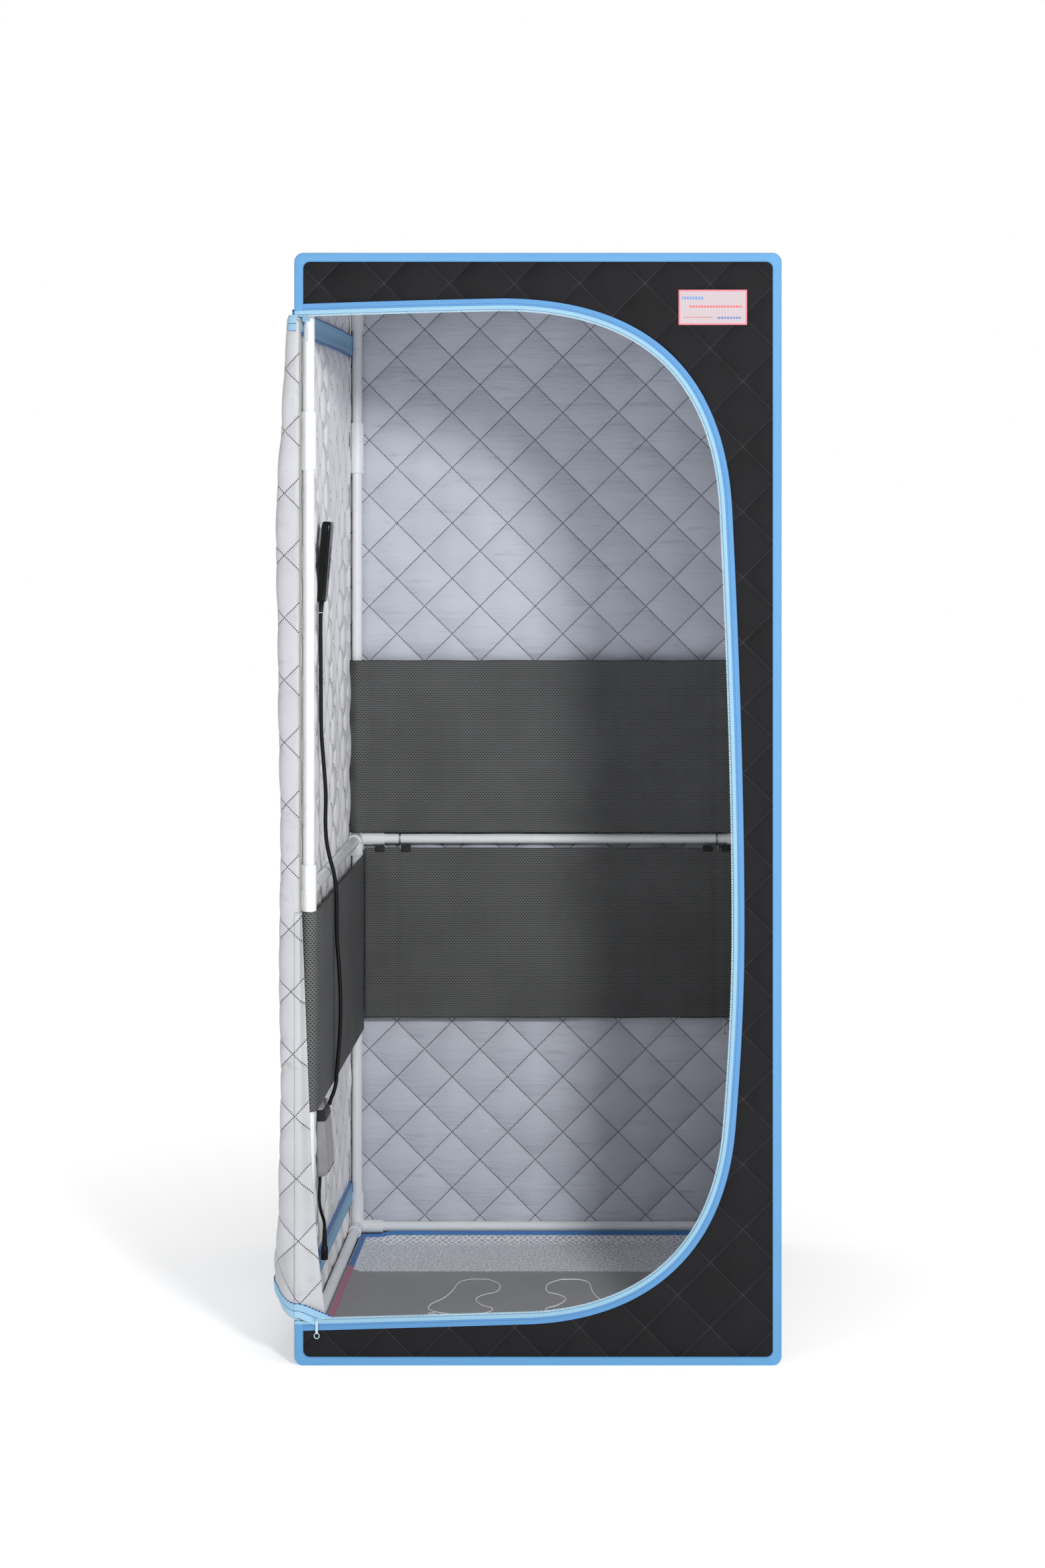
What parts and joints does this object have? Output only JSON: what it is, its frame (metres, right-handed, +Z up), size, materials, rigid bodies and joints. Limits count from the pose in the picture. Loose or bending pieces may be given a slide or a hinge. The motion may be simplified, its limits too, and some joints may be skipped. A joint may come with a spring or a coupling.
{
  "type": "folding infrared sauna cabin",
  "caption": "Upright one-person folding sauna cabin: quilted fabric cover with a zipped side-opening door, on a push-fit tube frame with soft heating panels and a wired handset.",
  "frame": {"origin": "centre of the cabin floor's underside", "axes": "+Z up, the door opening faces -Y, +X is to the right of a person looking in at the door"},
  "size_m": [0.831, 0.8077, 1.83],
  "materials": {
    "frame_tube": "smooth white plastic tube",
    "frame_fitting": "moulded white plastic",
    "cover_quilt": "black quilted polyester with sewn diamonds",
    "lining": "light grey quilted lining",
    "zip_tape": "sky blue woven zip tape",
    "binding": "sky blue woven edge binding",
    "zip_metal": "light blue enamelled zinc",
    "heater_cloth": "dark grey knitted mesh",
    "floor_mat": "silver woven reflective cloth",
    "foot_mat": "grey mesh with white outlines and pink binding",
    "pouch_cloth": "grey felted cloth",
    "black_plastic": "glossy black moulding",
    "button": "grey satin moulding",
    "cable": "black satin sheath",
    "steel": "plain steel",
    "label": "white printed satin with a pink-red border"
  },
  "bodies": {
    "cabin": {"bottom_corner_front_left": "frame_fitting", "bottom_corner_front_right": "frame_fitting", "bottom_corner_back_left": "frame_fitting", "bottom_corner_back_right": "frame_fitting", "mid_tee_front_left": "frame_fitting", "mid_tee_front_right": "frame_fitting", "mid_tee_back_left": "frame_fitting", "mid_tee_back_right": "frame_fitting", "top_corner_front_left": "frame_fitting", "top_corner_front_right": "frame_fitting", "top_corner_back_left": "frame_fitting", "top_corner_back_right": "frame_fitting", "lower_post_front_left": "frame_tube", "lower_post_front_right": "frame_tube", "lower_post_back_left": "frame_tube", "lower_post_back_right": "frame_tube", "upper_post_front_left": "frame_tube", "upper_post_front_right": "frame_tube", "upper_post_back_left": "frame_tube", "upper_post_back_right": "frame_tube", "top_post_front_left": "frame_tube", "top_post_front_right": "frame_tube", "top_post_back_left": "frame_tube", "top_post_back_right": "frame_tube", "bottom_rail_front": "frame_tube", "bottom_rail_back": "frame_tube", "bottom_rail_left": "frame_tube", "bottom_rail_right": "frame_tube", "mid_rail_back": "frame_tube", "mid_rail_left": "frame_tube", "mid_rail_right": "frame_tube", "top_rail_front": "frame_tube", "top_rail_back": "frame_tube", "top_rail_left": "frame_tube", "top_rail_right": "frame_tube", "cover_front": "cover_quilt", "cover_left": "cover_quilt", "cover_right": "cover_quilt", "cover_back": "cover_quilt", "cover_roof": "cover_quilt", "cover_floor": "cover_quilt", "heater_back_upper": "heater_cloth", "heater_back_lower": "heater_cloth", "heater_left": "heater_cloth", "heater_right": "heater_cloth", "floor_mat": "floor_mat", "foot_mat": "foot_mat", "pouch": "pouch_cloth", "handset_body": "black_plastic", "connector": "black_plastic", "handset_cable": "cable", "connector_lead": "cable"},
    "door_fold": {"door_fold": "lining"},
    "door_leaf": {"door_leaf": "lining"},
    "zip_slider_top": {"zip_slider_top": "zip_metal"},
    "pull_tab_top": {"pull_tab_top": "zip_metal"},
    "zip_slider_bottom": {"zip_slider_bottom": "zip_metal"},
    "pull_tab_bottom": {"pull_tab_bottom": "zip_metal"},
    "handset_button_1": {"handset_button_1": "button"},
    "handset_button_2": {"handset_button_2": "button"}
  },
  "joints": [
    {"name": "door_corner_fold", "type": "hinge", "parent": "cabin", "child": "door_fold", "pos_m": [-0.395, -0.401, 0.9], "axis": [0, 0, 1], "range_deg": [0, 180]},
    {"name": "door_leaf_fold", "type": "hinge", "parent": "door_fold", "child": "door_leaf", "pos_m": [-0.425, -0.401, 0.9], "axis": [0, 0, 1], "range_deg": [0, 90]},
    {"name": "zip_top_run", "type": "slide", "parent": "cabin", "child": "zip_slider_top", "axis": [0.9999, 0, 0.0171], "range_m": [0, 0.35]},
    {"name": "zip_bottom_run", "type": "slide", "parent": "cabin", "child": "zip_slider_bottom", "axis": [0.9996, 0, 0.027], "range_m": [0, 0.34]},
    {"name": "pull_tab_top_swing", "type": "hinge", "parent": "zip_slider_top", "child": "pull_tab_top", "pos_m": [-0.381, -0.4055, 1.7225], "axis": [-1, 0, 0], "range_deg": [0, 160]},
    {"name": "pull_tab_bottom_swing", "type": "hinge", "parent": "zip_slider_bottom", "child": "pull_tab_bottom", "pos_m": [-0.364, -0.4055, 0.0757], "axis": [-1, 0, 0], "range_deg": [0, 160]},
    {"name": "button_1_press", "type": "slide", "parent": "cabin", "child": "handset_button_1", "axis": [-0.9969, 0, 0.0785], "range_m": [0, 0.0012], "stiffness_N_per_m": 300},
    {"name": "button_2_press", "type": "slide", "parent": "cabin", "child": "handset_button_2", "axis": [-0.9969, 0, 0.0785], "range_m": [0, 0.0012], "stiffness_N_per_m": 300}
  ]
}
